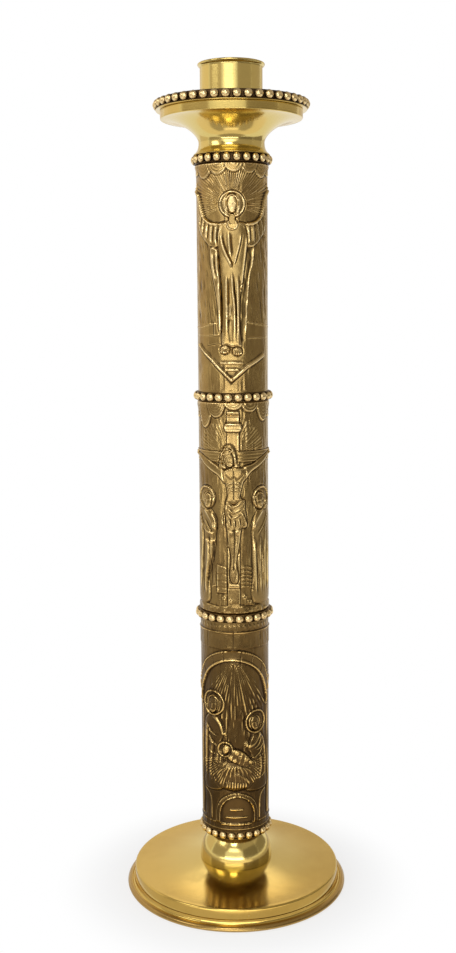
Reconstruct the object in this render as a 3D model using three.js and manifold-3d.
// Paschal candlestick: a weighted foot, a round knop, three relief drums between beaded rings,
// a flared capital with a beaded drip pan, and a candle socket, drawn together on one rod.
// Millimetres, +Z up. The origin is on the table, under the middle of the foot. The front is -Y.

import * as THREE from 'three';
import { mergeVertices } from 'three/addons/utils/BufferGeometryUtils.js';
import Module from 'manifold-3d';

const wasm = await Module();
wasm.setup();

// Driving dimensions

const seatGap = 0.3; // left between two faces that touch
const slipGap = 0.5; // left round a piece that drops into a bore

const footRadius = 151.5; // outside of the foot ring
const footEdgeWidth = 10.5; // from the dome's wall out to the edge of the foot
const footGroundWidth = 11.5; // width of the ring that stands on the table
const footRoundHeight = 6.6; // its rounded edge
const footSeatHeight = 12.4; // where the dome's wall stands on it
const footCoveWidth = 3.6; // hollow moulding between the rounded edge and the wall
const footRebateDepth = 3.5; // recess underneath that takes the closing plate
const footLandWidth = 5; // how far the closing plate reaches under the ring
const footUpstand = 4; // rim inside the wall that centres the dome

const wallHeight = 11; // upright wall of the dome
const shoulderRadius = 3; // rounding between the wall and the crown
const crownRise = 7; // from the shoulder up to the seat of the knop
const domeSheet = 2;

const plateSheet = 1.2;
const feltThickness = 1.2;
const wellRadius = 15; // pressed well of the closing plate, round the nut
const ballastHeight = 16;
const ballastHubRadius = 40;

const knopRadius = 49.5;
const knopCentreRise = 8; // its centre above its seat on the dome
const knopHeight = 42.1;
const knopSheet = 1.6;

const ringHeight = 11.2;
const ringBeadCircle = 47.6; // circle of bead centres on the three upper rings
const knopRingBeadCircle = 44.9; // and on the smaller ring over the knop
const knopRingSeat = 6; // width of its seat on the knop
const ringBeadRadius = 5.2;
const ringBeadCount = 24;
const spigotWall = 3;
const spigotHeight = 5;

const drumRadius = 46; // ground of the relief
const drumWall = 3;
const lowerDrumLength = 292.1;
const middleDrumLength = 281.3;
const upperDrumLength = 289.5;

const capitalFootRadius = 47.5;
const capitalFootHeight = 4.8;
const neckRadius = 42.6;
const neckHeight = 15.8; // neck above the capital's foot
const flareHeight = 29; // lip of the flare above the neck
const bandRadius = 91.5;
const bandHeight = 10.5;
const capitalSheet = 1.5;

const panSheet = 1.1;
const panFlangeRadius = 97;
const panFloorClearance = 2.2; // between the pan's floor and the flare below it
const panBeadCircle = 95.2;
const panBeadRadius = 5.5;
const panBeadCount = 44;
const panRimWidth = 5.4;

const socketBore = 38.25; // takes a candle of 76 mm
const socketWall = 1.75;
const socketFloor = 2.2;
const socketHeight = 63.9;
const socketLipWidth = 3;
const socketLipHeight = 4;

const rodRadius = 5;
const rodHoleGap = 0.4;
const rodProud = 1.5; // thread past the nut
const rodTableClearance = 1.5; // rod's end above the table
const nutHeight = 8;
const nutFlats = 17;
const washerRadius = 12;
const washerThickness = 1.6;
const knopSpacerRadius = 9.5;
const bossRadius = 11.2;
const bossHeight = 16;
const bossRoof = 2.7;
const capitalSpacerWall = 3.2;

// Relief heights above the ground of a drum

const lowRelief = 1;
const midRelief = 1.7;
const highRelief = 2.4;

// Steps round a circle for large, middling and small pieces

const wideSteps = 40;
const roundSteps = 32;
const hiddenSteps = 24;
const smallSteps = 16;

// Finishes

function finish(color, roughness, metalness) {
  return new THREE.MeshStandardMaterial({ color, roughness, metalness });
}

const polishedBrass = () => finish(0xd4a72c, 0.16, 1);
const antiqueBrass = () => finish(0x8f7442, 0.42, 1);
const greyIron = () => finish(0x3c3c3e, 0.7, 0.9);
const zincSteel = () => finish(0x9a9c9e, 0.4, 1);
const greenFelt = () => finish(0x24402c, 0.95, 0);

// Solids

function solidOf(geometry) {
  const bare = geometry.index ? geometry.clone() : mergeVertices(geometry);
  bare.deleteAttribute('normal');
  bare.deleteAttribute('uv');
  const merged = mergeVertices(bare, 1e-4);
  const points = merged.attributes.position;
  const corners = [];
  let volume = 0;
  const a = new THREE.Vector3();
  const b = new THREE.Vector3();
  const c = new THREE.Vector3();
  for (let i = 0; i < merged.index.count; i += 3) {
    const [p, q, r] = [0, 1, 2].map((k) => merged.index.getX(i + k));
    if (p === q || q === r || r === p) continue;
    corners.push(p, q, r);
    a.fromBufferAttribute(points, p);
    b.fromBufferAttribute(points, q);
    c.fromBufferAttribute(points, r);
    volume += a.dot(b.cross(c));
  }
  if (volume < 0) corners.reverse();
  return new wasm.Manifold(new wasm.Mesh({
    numProp: 3,
    vertProperties: new Float32Array(points.array),
    triVerts: new Uint32Array(corners),
  }));
}

function geometryOf(solid) {
  const mesh = solid.getMesh();
  const geometry = new THREE.BufferGeometry();
  geometry.setAttribute('position', new THREE.BufferAttribute(mesh.vertProperties, 3));
  geometry.setIndex(new THREE.BufferAttribute(mesh.triVerts, 1));
  geometry.computeVertexNormals();
  return geometry;
}

function join(solids) {
  return solids.reduce((whole, next) => whole.add(next));
}

// A profile is a list of [radius, height]. It closes on itself, or starts and ends on the axis.

function turned(profile, steps) {
  const onAxis = profile[0][0] === 0 && profile.at(-1)[0] === 0;
  const outline = onAxis ? profile : [...profile, profile[0]];
  const points = outline.map(([radius, height]) => new THREE.Vector2(radius, height));
  return new THREE.LatheGeometry(points, steps).rotateX(Math.PI / 2);
}

function arc(centreRadius, centreHeight, radius, fromAngle, toAngle, steps) {
  return Array.from({ length: steps + 1 }, (_, i) => {
    const angle = THREE.MathUtils.degToRad(fromAngle + ((toAngle - fromAngle) * i) / steps);
    return [centreRadius + radius * Math.cos(angle), centreHeight + radius * Math.sin(angle)];
  });
}

function bend(start, pullOut, pullIn, end, steps) {
  const pulls = [start, pullOut, pullIn, end].map((p) => new THREE.Vector2(...p));
  const curve = new THREE.CubicBezierCurve(...pulls);
  return curve.getPoints(steps).map((p) => [p.x, p.y]);
}

// The profile's other side, one sheet thickness to the left of its direction of travel.

function insideOf(profile, sheet) {
  return profile.map((point, i) => {
    const before = profile[Math.max(i - 1, 0)];
    const after = profile[Math.min(i + 1, profile.length - 1)];
    const sides = [];
    if (i > 0) sides.push(leftNormal(before, point));
    if (i < profile.length - 1) sides.push(leftNormal(point, after));
    const sum = sides.reduce((s, n) => [s[0] + n[0], s[1] + n[1]], [0, 0]);
    const reach = (sheet * sides.length) / (sum[0] ** 2 + sum[1] ** 2);
    return [point[0] + sum[0] * reach, point[1] + sum[1] * reach];
  });
}

function leftNormal(from, to) {
  const run = Math.hypot(to[0] - from[0], to[1] - from[1]);
  return [-(to[1] - from[1]) / run, (to[0] - from[0]) / run];
}

function tube(bore, radius, bottom, top) {
  return [[bore, bottom], [radius, bottom], [radius, top], [bore, top]];
}

// Places and radii that follow from the driving dimensions

const rodHole = rodRadius + rodHoleGap;
const wallRadius = footRadius - footEdgeWidth;
const footRebateRadius = footRadius - footGroundWidth;
const wallBottom = footSeatHeight + seatGap;
const wallTop = wallBottom + wallHeight;
const shoulderTop = wallTop + shoulderRadius;
const crownTop = shoulderTop + crownRise;
const footBore = footRebateRadius - footLandWidth;

const nutBottom = rodTableClearance + rodProud;
const nutTop = nutBottom + nutHeight;
const washerBottom = nutTop + seatGap;
const wellRoof = washerBottom + washerThickness + seatGap;
const plateTop = footRebateDepth - seatGap;
const plateBottom = plateTop - plateSheet;

const knopBottom = crownTop + seatGap;
const knopCentre = knopBottom + knopCentreRise;
const knopTop = knopBottom + knopHeight;
const knopTopRadius = Math.sqrt(knopRadius ** 2 - (knopTop - knopCentre) ** 2);
const knopSeatRadius = Math.sqrt(knopRadius ** 2 - knopCentreRise ** 2) + 1;
const knopRingBore = knopTopRadius - knopRingSeat;

const drumBore = drumRadius - drumWall;
const spigotRadius = drumBore - seatGap;
const spigotBore = spigotRadius - spigotWall;
const knopRingBottom = knopTop + seatGap;
const lowerDrumBottom = knopRingBottom + ringHeight + seatGap;
const lowerRingBottom = lowerDrumBottom + lowerDrumLength + seatGap;
const middleDrumBottom = lowerRingBottom + ringHeight + seatGap;
const upperRingBottom = middleDrumBottom + middleDrumLength + seatGap;
const upperDrumBottom = upperRingBottom + ringHeight + seatGap;
const topRingBottom = upperDrumBottom + upperDrumLength + seatGap;

const capitalBottom = topRingBottom + ringHeight + seatGap;
const capitalNeck = capitalBottom + neckHeight;
const capitalLip = capitalNeck + flareHeight;
const bandTop = capitalLip + bandHeight;
const panFlangeBottom = bandTop + seatGap;
const panFloorBottom = capitalLip + capitalSheet + panFloorClearance;
const panRimBottom = panFlangeBottom + panSheet + seatGap;
const socketBottom = panFloorBottom + panSheet + seatGap;
const socketTop = socketBottom + socketHeight;
const bossTop = socketBottom - seatGap;
const rodTop = bossTop - bossRoof - seatGap;

// Foot

function footRing() {
  const roundTop = footRadius - 7;
  return turned([
    [footRebateRadius, 0],
    [footRadius - 1.8, 0],
    [footRadius - 0.4, 1.2],
    [footRadius, footRoundHeight * 0.45],
    [footRadius - 0.9, footRoundHeight * 0.78],
    [footRadius - 3, footRoundHeight],
    [roundTop, footRoundHeight],
    [wallRadius + footCoveWidth * 0.35, footRoundHeight + 1.6],
    [wallRadius, footSeatHeight],
    [wallRadius - domeSheet - seatGap, footSeatHeight],
    [wallRadius - domeSheet - seatGap, footSeatHeight + footUpstand],
    [footBore, footSeatHeight + footUpstand],
    [footBore, footRebateDepth],
    [footRebateRadius, footRebateDepth],
  ], wideSteps);
}

function baseDome() {
  const crownRadius = wallRadius - shoulderRadius;
  const crown = Array.from({ length: 4 }, (_, i) => {
    const t = i / 3;
    return [knopSeatRadius + (crownRadius - knopSeatRadius) * t, crownTop - crownRise * t ** 1.7];
  });
  const outside = [
    [wallRadius, wallBottom],
    ...arc(crownRadius, wallTop, shoulderRadius, 0, 60, 2),
    ...crown.reverse(),
    [rodHole, crownTop],
  ];
  return turned([...outside, ...insideOf(outside, domeSheet).reverse()], wideSteps);
}

function basePlate() {
  const wellOutside = wellRadius + plateSheet;
  return turned([
    [footRebateRadius - slipGap - seatGap, plateBottom],
    [footRebateRadius - slipGap - seatGap, plateTop],
    [wellOutside, plateTop],
    [wellOutside, wellRoof + plateSheet],
    [rodHole, wellRoof + plateSheet],
    [rodHole, wellRoof],
    [wellRadius, wellRoof],
    [wellRadius, plateBottom],
  ], hiddenSteps);
}

function feltPad() {
  const top = plateBottom - seatGap;
  return turned(tube(wellRadius + slipGap, footRebateRadius - 2, top - feltThickness, top), hiddenSteps);
}

function ballast() {
  const bottom = plateTop + seatGap;
  const wellBore = wellRadius + plateSheet + slipGap;
  const wellTop = wellRoof + plateSheet + seatGap;
  const hubTop = crownTop - domeSheet - seatGap;
  return turned([
    [wellBore, bottom],
    [footBore - slipGap - seatGap, bottom],
    [footBore - slipGap - seatGap, bottom + ballastHeight],
    [ballastHubRadius, bottom + ballastHeight],
    [ballastHubRadius, hubTop],
    [rodHole, hubTop],
    [rodHole, wellTop],
    [wellBore, wellTop],
  ], hiddenSteps);
}

// Knop

function knopBall() {
  const angleAt = (height, radius) => THREE.MathUtils.radToDeg(Math.asin((height - knopCentre) / radius));
  const innerRadius = knopRadius - knopSheet;
  const underTop = knopTop - knopSheet;
  return turned([
    ...arc(0, knopCentre, knopRadius, angleAt(knopBottom, knopRadius), angleAt(knopTop, knopRadius), 6),
    [rodHole, knopTop],
    [rodHole, underTop],
    ...arc(0, knopCentre, innerRadius, angleAt(underTop, innerRadius), angleAt(knopBottom, innerRadius), 4),
  ], roundSteps);
}

function knopSpacer() {
  const roof = knopTop - knopSheet;
  return turned(tube(rodHole, knopSpacerRadius, crownTop + seatGap, roof - seatGap), smallSteps);
}

// Beaded rings. The outside is a belt of beads, three steps to a bead. The inside profile runs from
// the top face inwards and down to the bottom face.

function beadedRing({ count, circle, beadRadius, bottom, top, inside }) {
  const edge = circle - 0.2 * beadRadius;
  const pitch = (2 * Math.PI) / count;
  const around = 3 * count;
  const points = [];
  const corners = [];
  const put = (radius, angle, height) => {
    points.push(radius * Math.cos(angle), radius * Math.sin(angle), height);
  };
  const fan = (hub, ...rim) => {
    for (let i = 0; i < rim.length - 1; i += 1) corners.push(hub, rim[i], rim[i + 1]);
  };
  const rises = [0, 0.25, 0.75, 1];
  for (const rise of rises) {
    for (let j = 0; j < around; j += 1) {
      const angle = pitch * (Math.floor(j / 3) + [0, 0.3, 0.7][j % 3]);
      const onBead = j % 3 > 0 && rise > 0 && rise < 1;
      put(onBead ? circle + beadRadius : edge, angle, bottom + (top - bottom) * rise);
    }
  }
  for (let row = 0; row < rises.length - 1; row += 1) {
    for (let j = 0; j < around; j += 1) {
      const next = (j + 1) % around;
      fan(row * around + j, row * around + next, (row + 1) * around + next, (row + 1) * around + j);
    }
  }
  const inner = rises.length * around;
  for (const [radius, height] of inside) {
    for (let k = 0; k < count; k += 1) put(radius, pitch * k, height);
  }
  const topRow = (rises.length - 1) * around;
  const lastRing = inner + (inside.length - 1) * count;
  for (let k = 0; k < count; k += 1) {
    const next = (k + 1) % count;
    const rim = [0, 1, 2, 3].map((i) => (3 * k + i) % around);
    fan(inner + k, ...rim.map((i) => topRow + i), inner + next);
    fan(lastRing + k, lastRing + next, ...rim.reverse());
    for (let m = 0; m < inside.length - 1; m += 1) {
      const ring = inner + m * count;
      fan(ring + k, ring + next, ring + count + next, ring + count + k);
    }
  }
  const geometry = new THREE.BufferGeometry();
  geometry.setAttribute('position', new THREE.Float32BufferAttribute(points, 3));
  geometry.setIndex(corners);
  geometry.computeVertexNormals();
  return geometry;
}

function spigotUp(top) {
  return [[spigotRadius, top], [spigotRadius, top + spigotHeight], [spigotBore, top + spigotHeight]];
}

function spigotDown(bottom) {
  return [[spigotBore, bottom - spigotHeight], [spigotRadius, bottom - spigotHeight], [spigotRadius, bottom]];
}

function columnRing(bottom, circle, insideFor) {
  const top = bottom + ringHeight;
  const inside = insideFor(bottom, top);
  return beadedRing({ count: ringBeadCount, circle, beadRadius: ringBeadRadius, bottom, top, inside });
}

const betweenDrums = (bottom, top) => [...spigotUp(top), ...spigotDown(bottom)];
const underCapital = (bottom, top) => [[spigotBore, top], ...spigotDown(bottom)];
const overKnop = (bottom, top) => [
  ...spigotUp(top),
  [spigotBore, top],
  [knopRingBore, top],
  [knopRingBore, bottom],
];

// Relief: bands laid on the ground of a drum. A path is a list of [turn, rise, half width]. The turn
// and the half width are degrees round the drum, from its front. The rise is a hundredth of the drum's
// length, from its middle, so a longer drum stretches its scene.

const degree = THREE.MathUtils.degToRad(drumRadius); // one degree along the drum's surface

function onDrum(across, height, radius) {
  const angle = across / drumRadius;
  return [radius * Math.sin(angle), -radius * Math.cos(angle), height];
}

function reliefBand(field, bandPath, lift) {
  const heightOf = (rise) => field.middle + rise * field.percent;
  const path = bandPath.map(([turn, rise, half]) => [turn * degree, heightOf(rise), half * degree]);
  const widest = Math.max(...path.map((p) => p[2]));
  const columns = Math.max(1, Math.ceil(widest / 8));
  const crossing = 2 * (columns + 1);
  const root = drumRadius - drumWall / 2;
  const points = path.flatMap(([across, height, half], i) => {
    const before = path[Math.max(i - 1, 0)];
    const after = path[Math.min(i + 1, path.length - 1)];
    const run = Math.hypot(after[0] - before[0], after[1] - before[1]);
    const side = [(after[1] - before[1]) / run, -(after[0] - before[0]) / run];
    const place = (t, radius) => onDrum(across + side[0] * half * t, height + side[1] * half * t, radius);
    const steps = Array.from({ length: columns + 1 }, (_, k) => (2 * k) / columns - 1);
    const crest = steps.map((t) => place(t, drumRadius + lift));
    return [...crest, ...steps.reverse().map((t) => place(t, root))];
  });
  const corners = [];
  const quad = (p, q, r, s) => corners.push(p, q, r, p, r, s);
  for (let i = 0; i < path.length - 1; i += 1) {
    for (let k = 0; k < crossing; k += 1) {
      const next = (k + 1) % crossing;
      quad(i * crossing + k, i * crossing + next, (i + 1) * crossing + next, (i + 1) * crossing + k);
    }
  }
  const last = (path.length - 1) * crossing;
  for (let k = 0; k < columns; k += 1) {
    const mirror = crossing - 1 - k;
    quad(k, mirror, mirror - 1, k + 1);
    quad(last + k, last + k + 1, last + mirror - 1, last + mirror);
  }
  const geometry = new THREE.BufferGeometry();
  geometry.setAttribute('position', new THREE.Float32BufferAttribute(points.flat(), 3));
  geometry.setIndex(corners);
  return solidOf(geometry);
}

function reliefHead(field, turn, rise, halfWidth, halfHeight) {
  const head = new THREE.SphereGeometry(1, 6, 4);
  head.scale(halfWidth * degree, highRelief + 1, halfHeight * field.percent);
  head.translate(0, -drumRadius, field.middle + rise * field.percent);
  return solidOf(head.rotateZ(THREE.MathUtils.degToRad(turn)));
}

function mirrored(path) {
  return path.map(([turn, rise, half]) => [-turn, rise, half]);
}

function drum(bottom, length, scene) {
  const wall = solidOf(turned(tube(drumBore, drumRadius, bottom, bottom + length), roundSteps));
  const front = join(scene({ middle: bottom + length / 2, percent: length / 100 }));
  return geometryOf(join([wall, front, front.rotate([0, 0, 180])]));
}

function robedFigureScene(field) {
  const robe = [
    [-2.5, 22.8, 23.7],
    [-1.2, 14.2, 32.4],
    [-2.5, 7.3, 29.9],
    [-3.7, -3.5, 19.9],
    [-3.7, -13.8, 17.4],
    [-2.5, -29.4, 14.9],
  ];
  const arm = [[17.4, 20.7, 11.2], [38.6, 21.4, 10], [54.8, 26.3, 7.5], [71, 37.3, 3.7]];
  const lid = [[-62.3, -29.7, 2.5], [-3.7, -43.5, 3.1], [49.8, -33.9, 2.5]];
  return [
    reliefBand(field, robe, highRelief),
    reliefBand(field, arm, highRelief - 0.4),
    reliefBand(field, mirrored(arm), highRelief - 0.4),
    reliefHead(field, -1.2, 31.4, 9.3, 5.2),
    reliefBand(field, lid, midRelief),
  ];
}

function crossScene(field) {
  const post = [[-1.2, 44.4, 10.6], [-1.2, -46.2, 10.6]];
  const beam = [-77.2, -38.6, 0, 38.6, 77.2].map((turn) => [turn, 24.9, 8.7]);
  const plaque = [[-1.2, 44.4, 12.5], [-1.2, 35.9, 12.5]];
  const body = [
    [2.5, 18.5, 17.4],
    [1.2, 7.8, 11.8],
    [3.7, 1.4, 15.6],
    [3.7, -8.5, 13.7],
    [1.2, -18.5, 9.3],
    [0, -34.8, 6.2],
  ];
  const arm = [[13.7, 17.8, 8.7], [37.4, 20.6, 5.6], [73.5, 24.5, 4.4]];
  const mourner = [[49.8, 0, 14.9], [49.8, -10.7, 18.7], [53.6, -45.5, 21.2]];
  return [
    reliefBand(field, post, lowRelief),
    reliefBand(field, beam, lowRelief),
    reliefBand(field, plaque, midRelief),
    reliefBand(field, body, highRelief),
    reliefBand(field, arm, highRelief - 0.2),
    reliefBand(field, mirrored(arm), highRelief - 0.2),
    reliefHead(field, -8.7, 24, 9.3, 5.3),
    ...[mourner, mirrored(mourner)].map((path) => reliefBand(field, path, midRelief)),
    ...[-50, 50].map((turn) => reliefHead(field, turn, 3.6, 10, 3.9)),
  ];
}

function mangerScene(field) {
  const arch = [-52, -26, 0, 26, 52].map((lean) => {
    const angle = THREE.MathUtils.degToRad(lean);
    return [74.7 * Math.sin(angle), 14.4 + 20.5 * Math.cos(angle), 8.7];
  });
  const doorway = [
    [-31, -49, 3.7],
    [-28.6, -37.7, 3.7],
    [2.5, -30.8, 3.7],
    [32.4, -37.7, 3.7],
    [34.9, -49, 3.7],
  ];
  const standing = [[-38.6, 5.5, 14.9], [-39.9, -3.4, 18.7], [-44.8, -37.7, 17.4]];
  const kneeling = [[38.6, -4.8, 14.9], [38.6, -13.7, 18.7], [44.8, -35.9, 18.7]];
  const crib = [[-29.9, -20.5, 6.2], [-5, -17.8, 11.2], [19.9, -19.2, 8.7]];
  return [
    reliefBand(field, arch, midRelief),
    reliefBand(field, doorway, midRelief),
    reliefBand(field, standing, midRelief),
    reliefBand(field, kneeling, midRelief),
    reliefBand(field, crib, highRelief),
    reliefHead(field, -39.9, 10.3, 10, 4.5),
    reliefHead(field, 34.9, 1.7, 10, 3.8),
    reliefHead(field, -17.4, -9.9, 6.2, 2.1),
  ];
}

// Capital, pan and socket

function capital() {
  const outside = [
    [rodHole, capitalBottom],
    [capitalFootRadius, capitalBottom],
    [capitalFootRadius, capitalBottom + capitalFootHeight],
    [neckRadius + 1, capitalBottom + neckHeight * 0.6],
    ...bend([neckRadius, capitalNeck], [neckRadius, capitalNeck + flareHeight * 0.38],
      [neckRadius + 23.4, capitalLip], [bandRadius - 3, capitalLip], 6),
    [bandRadius, capitalLip + 0.6],
    [bandRadius, bandTop],
  ];
  return turned([...outside, ...insideOf(outside, capitalSheet).reverse()], roundSteps);
}

function capitalSpacer() {
  const bore = bossRadius + slipGap;
  const bottom = capitalBottom + capitalSheet + seatGap;
  return turned(tube(bore, bore + capitalSpacerWall, bottom, panFloorBottom - seatGap), smallSteps);
}

function dripPan() {
  const dishRadius = bandRadius - capitalSheet - panSheet - slipGap;
  const underside = [
    [bossRadius + slipGap, panFloorBottom],
    [dishRadius - 6, panFloorBottom],
    [dishRadius - 1.5, panFloorBottom + 2],
    [dishRadius, panFlangeBottom],
    [panFlangeRadius, panFlangeBottom],
  ];
  return turned([...underside, ...insideOf(underside, panSheet).reverse()], roundSteps);
}

function panBeadRim() {
  const top = panRimBottom + 2 * panBeadRadius;
  const bore = panBeadCircle - panRimWidth;
  return beadedRing({
    count: panBeadCount,
    circle: panBeadCircle,
    beadRadius: panBeadRadius,
    bottom: panRimBottom,
    top,
    inside: [[bore, top], [bore, panRimBottom]],
  });
}

function candleSocket() {
  const outer = socketBore + socketWall;
  const lip = outer + socketLipWidth;
  const lipBottom = socketTop - socketLipHeight;
  return turned([
    [0, socketBottom],
    [outer, socketBottom],
    [outer, lipBottom - socketLipWidth / 2],
    [lip, lipBottom],
    [lip, socketTop - 0.8],
    [lip - 0.8, socketTop],
    [socketBore, socketTop],
    [socketBore, socketBottom + socketFloor],
    [0, socketBottom + socketFloor],
  ], roundSteps);
}

function socketBoss() {
  return turned([
    [0, bossTop - bossRoof],
    [rodRadius + seatGap, bossTop - bossRoof],
    [rodRadius + seatGap, bossTop - bossHeight],
    [bossRadius, bossTop - bossHeight],
    [bossRadius, bossTop],
    [0, bossTop],
  ], smallSteps);
}

// Rod and its fastening

function tieRod() {
  const length = rodTop - rodTableClearance;
  return new THREE.CylinderGeometry(rodRadius, rodRadius, length, smallSteps)
    .rotateX(Math.PI / 2)
    .translate(0, 0, rodTableClearance + length / 2);
}

function bottomNut() {
  const cornerRadius = nutFlats / Math.sqrt(3);
  const outline = new THREE.Shape();
  for (let i = 0; i < 6; i += 1) {
    const angle = (i * Math.PI) / 3;
    const corner = [cornerRadius * Math.cos(angle), cornerRadius * Math.sin(angle)];
    if (i === 0) outline.moveTo(...corner);
    else outline.lineTo(...corner);
  }
  outline.closePath();
  outline.holes.push(new THREE.Path().absarc(0, 0, rodRadius + seatGap, 0, 2 * Math.PI, true));
  return new THREE.ExtrudeGeometry(outline, { depth: nutHeight, bevelEnabled: false, curveSegments: 8 })
    .translate(0, 0, nutBottom);
}

function bottomWasher() {
  return turned(tube(rodHole, washerRadius, washerBottom, washerBottom + washerThickness), smallSteps);
}

// Assembly

const candlestick = new THREE.Group();

function add(name, geometry, material) {
  const mesh = new THREE.Mesh(geometry, material);
  mesh.name = name;
  candlestick.add(mesh);
}

add('foot_ring', footRing(), polishedBrass());
add('base_dome', baseDome(), polishedBrass());
add('base_plate', basePlate(), zincSteel());
add('felt_pad', feltPad(), greenFelt());
add('ballast', ballast(), greyIron());
add('knop_ball', knopBall(), polishedBrass());
add('knop_spacer', knopSpacer(), zincSteel());

add('bead_ring_knop', columnRing(knopRingBottom, knopRingBeadCircle, overKnop), antiqueBrass());
add('bead_ring_lower', columnRing(lowerRingBottom, ringBeadCircle, betweenDrums), antiqueBrass());
add('bead_ring_upper', columnRing(upperRingBottom, ringBeadCircle, betweenDrums), antiqueBrass());
add('bead_ring_top', columnRing(topRingBottom, ringBeadCircle, underCapital), antiqueBrass());

add('relief_drum_lower', drum(lowerDrumBottom, lowerDrumLength, mangerScene), antiqueBrass());
add('relief_drum_middle', drum(middleDrumBottom, middleDrumLength, crossScene), antiqueBrass());
add('relief_drum_upper', drum(upperDrumBottom, upperDrumLength, robedFigureScene), antiqueBrass());

add('capital', capital(), polishedBrass());
add('capital_spacer', capitalSpacer(), zincSteel());
add('drip_pan', dripPan(), polishedBrass());
add('pan_bead_rim', panBeadRim(), polishedBrass());
add('candle_socket', candleSocket(), polishedBrass());
add('socket_boss', socketBoss(), polishedBrass());

add('tie_rod', tieRod(), zincSteel());
add('bottom_nut', bottomNut(), zincSteel());
add('bottom_washer', bottomWasher(), zincSteel());

export default candlestick;
